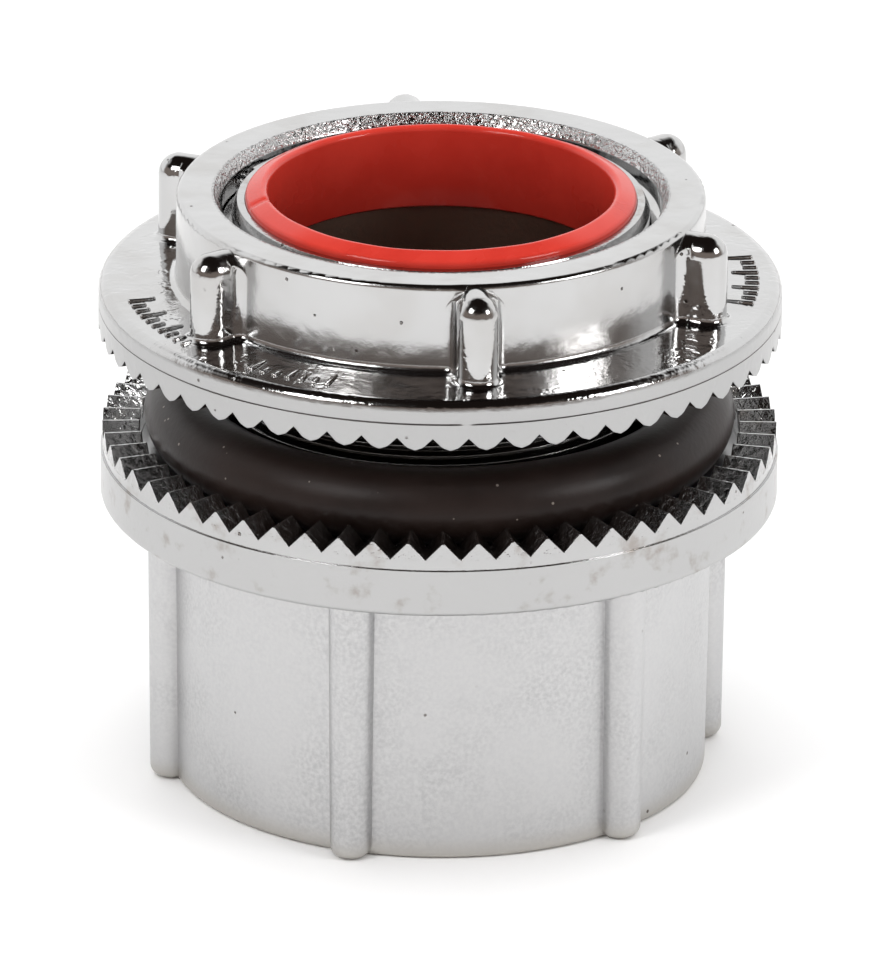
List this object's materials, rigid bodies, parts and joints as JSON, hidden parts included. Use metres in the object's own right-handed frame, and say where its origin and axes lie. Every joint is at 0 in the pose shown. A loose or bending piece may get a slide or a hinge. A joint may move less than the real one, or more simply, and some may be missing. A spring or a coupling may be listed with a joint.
{
  "type": "conduit hub",
  "caption": "Threaded conduit hub with toothed flange, rubber sealing ring, lugged locknut on a male nipple, and a red insulated throat.",
  "frame": {"origin": "middle of the hub's bottom face, where the conduit enters", "axes": "+Z along the axis of the hub, from the conduit entry towards the locknut and throat; +X to the right and -Y to the front"},
  "size_m": [0.0754, 0.0754, 0.0676],
  "materials": {
    "cast_zinc": "satin die-cast zinc, shot-tumbled",
    "black_rubber": "moulded rubber, soft sheen",
    "red_plastic": "glossy moulded plastic",
    "bright_plating": "bright plated die-cast zinc"
  },
  "bodies": {
    "hub": {"hub_body": "cast_zinc", "throat_liner": "red_plastic"},
    "seal": {"sealing_ring": "black_rubber"},
    "locknut": {"locknut": "bright_plating"}
  },
  "joints": [
    {"name": "locknut_turn", "type": "hinge", "parent": "hub", "child": "seal", "pos_m": [0, 0, 0.04135], "axis": [0, 0, 1], "range_deg": [-1200, 2160]},
    {"name": "locknut_travel", "type": "slide", "parent": "seal", "child": "locknut", "axis": [0, 0, 1], "range_m": [-0.0074, 0.01335]}
  ],
  "couplings": [
    {"joint": "locknut_travel", "follows": "locknut_turn", "m_per_rad": 0.00035152}
  ]
}
